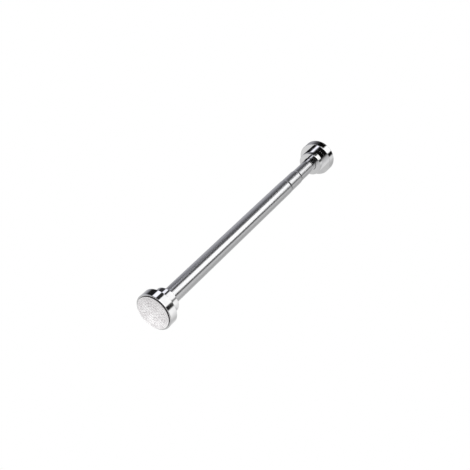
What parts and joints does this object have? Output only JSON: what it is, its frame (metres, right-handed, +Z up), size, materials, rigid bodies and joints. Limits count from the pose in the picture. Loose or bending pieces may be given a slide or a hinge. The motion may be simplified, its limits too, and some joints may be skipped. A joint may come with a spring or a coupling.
{
  "type": "telescopic tension rod",
  "caption": "Telescopic rod with stepped round chrome end flanges and grip pads, a twist lock inside the tubes and a spring behind one foot.",
  "frame": {"origin": "middle of the near pad's wall face", "axes": "+X along the rod towards the sprung foot, +Z up as the rod hangs between two walls"},
  "size_m": [0.483, 0.0576, 0.0576],
  "materials": {
    "brushed_stainless": "satin, brushed along the tube",
    "chrome_plate": "mirror",
    "grip_rubber": "matt, moulded relief",
    "black_nylon": "moulded",
    "white_nylon": "moulded",
    "zinc_steel": "zinc plated",
    "spring_steel": "drawn wire"
  },
  "bodies": {
    "fixed_rod": {"outer_tube": "brushed_stainless", "glide_sleeve": "white_nylon", "near_flange": "chrome_plate", "near_pad": "grip_rubber", "near_socket": "black_nylon", "near_plug": "black_nylon", "near_screw": "zinc_steel", "near_washer": "zinc_steel"},
    "slide_guide": {"guide_bush": "white_nylon"},
    "sliding_rod": {"inner_tube": "brushed_stainless", "lock_post": "black_nylon", "cam_washer": "zinc_steel", "cam_screw": "zinc_steel", "spring_stop": "black_nylon", "tension_spring": "spring_steel", "guide_plug": "black_nylon"},
    "lock_cam": {"cam_ring": "black_nylon"},
    "sprung_foot": {"plunger": "zinc_steel", "spring_washer": "zinc_steel", "far_washer": "zinc_steel", "far_screw": "zinc_steel", "far_socket": "black_nylon", "far_flange": "chrome_plate", "far_pad": "grip_rubber"}
  },
  "joints": [
    {"name": "telescope", "type": "slide", "parent": "fixed_rod", "child": "slide_guide", "axis": [1, 0, 0], "range_m": [-0.035, 0.225]},
    {"name": "lock_twist", "type": "hinge", "parent": "slide_guide", "child": "sliding_rod", "pos_m": [0.099, 0, 0], "axis": [1, 0, 0], "range_deg": [-32, 32]},
    {"name": "cam_turn", "type": "hinge", "parent": "sliding_rod", "child": "lock_cam", "pos_m": [0.087, 0, 0.001], "axis": [1, 0, 0], "range_deg": [-32, 32]},
    {"name": "foot_spring", "type": "slide", "parent": "sliding_rod", "child": "sprung_foot", "axis": [-1, 0, 0], "range_m": [0, 0.012], "stiffness_N_per_m": 3000, "springref_m": -0.006, "deforming": ["tension_spring"]}
  ],
  "couplings": [
    {"joint": "cam_turn", "follows": "lock_twist", "ratio": -1}
  ]
}
